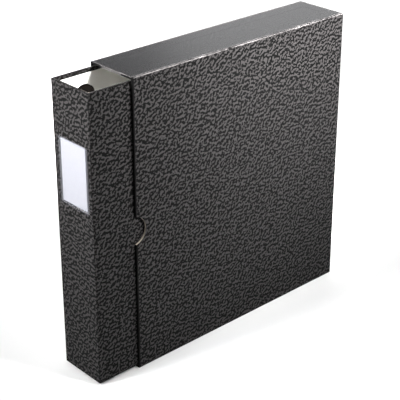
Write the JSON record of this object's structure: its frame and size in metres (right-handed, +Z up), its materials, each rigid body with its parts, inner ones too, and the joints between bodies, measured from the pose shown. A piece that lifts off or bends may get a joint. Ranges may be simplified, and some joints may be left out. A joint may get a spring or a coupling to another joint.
{
  "type": "ring file with slipcase",
  "caption": "Casebound A4 ring file with a lever-opened ring mechanism, sliding out of a paper-covered slipcase with thumb notches in its broad walls.",
  "frame": {"origin": "bottom centre of the whole object, with the file drawn out of the slipcase by 50 mm", "axes": "+Z up; +X from the file's spine to the slipcase's closed end; -Y the front cover's side"},
  "size_m": [0.3498, 0.064, 0.325],
  "materials": {
    "patterned_paper": "dark embossed pattern, low sheen",
    "plain_paper": "matt coated paper",
    "greyboard": "raw pulp board",
    "lining_paper": "uncoated white paper",
    "clear_film": "clear film",
    "card": "white card",
    "plated_steel": "nickel plated",
    "black_nickel": "dark nickel plated"
  },
  "bodies": {
    "slipcase": {"slipcase_front_board": "greyboard", "slipcase_rear_board": "greyboard", "slipcase_top_board": "greyboard", "slipcase_bottom_board": "greyboard", "slipcase_end_board": "greyboard", "slipcase_wrap_paper": "patterned_paper", "slipcase_top_paper": "plain_paper", "slipcase_bottom_paper": "plain_paper"},
    "file": {"front_cover_board": "greyboard", "rear_cover_board": "greyboard", "spine_board": "greyboard", "file_cover_paper": "patterned_paper", "file_lining_paper": "lining_paper", "label_pocket": "clear_film", "mechanism_cover_plate": "plated_steel", "top_lever_pin": "plated_steel", "bottom_lever_pin": "plated_steel", "top_rivet": "plated_steel", "bottom_rivet": "plated_steel"},
    "left_rings": {"left_hinge_plate": "plated_steel", "ring_1_left": "plated_steel", "ring_2_left": "plated_steel", "ring_3_left": "plated_steel", "ring_4_left": "plated_steel"},
    "right_rings": {"right_hinge_plate": "plated_steel", "ring_1_right": "plated_steel", "ring_2_right": "plated_steel", "ring_3_right": "plated_steel", "ring_4_right": "plated_steel"},
    "top_lever": {"top_lever": "black_nickel"},
    "bottom_lever": {"bottom_lever": "black_nickel"},
    "label_card": {"label_card": "card"}
  },
  "joints": [
    {"name": "file_slide", "type": "slide", "parent": "slipcase", "child": "file", "axis": [-1, 0, 0], "range_m": [-0.0545, 0.236]},
    {"name": "left_ring_hinge", "type": "hinge", "parent": "file", "child": "left_rings", "pos_m": [-0.16905, 0.0105, 0.16175], "axis": [0, 0, 1], "range_deg": [0, 14]},
    {"name": "right_ring_hinge", "type": "hinge", "parent": "file", "child": "right_rings", "pos_m": [-0.16905, -0.0105, 0.16175], "axis": [0, 0, -1], "range_deg": [0, 14]},
    {"name": "top_lever_hinge", "type": "hinge", "parent": "file", "child": "top_lever", "pos_m": [-0.16885, 0, 0.2962], "axis": [0, -1, 0], "range_deg": [0, 16]},
    {"name": "bottom_lever_hinge", "type": "hinge", "parent": "file", "child": "bottom_lever", "pos_m": [-0.16885, 0, 0.0273], "axis": [0, 1, 0], "range_deg": [0, 16]},
    {"name": "card_slide", "type": "slide", "parent": "file", "child": "label_card", "axis": [0, 0, 1], "range_m": [0, 0.055]}
  ],
  "couplings": [
    {"joint": "right_ring_hinge", "follows": "left_ring_hinge", "ratio": 1},
    {"joint": "top_lever_hinge", "follows": "left_ring_hinge", "ratio": 1.1429},
    {"joint": "bottom_lever_hinge", "follows": "left_ring_hinge", "ratio": 1.1429}
  ]
}
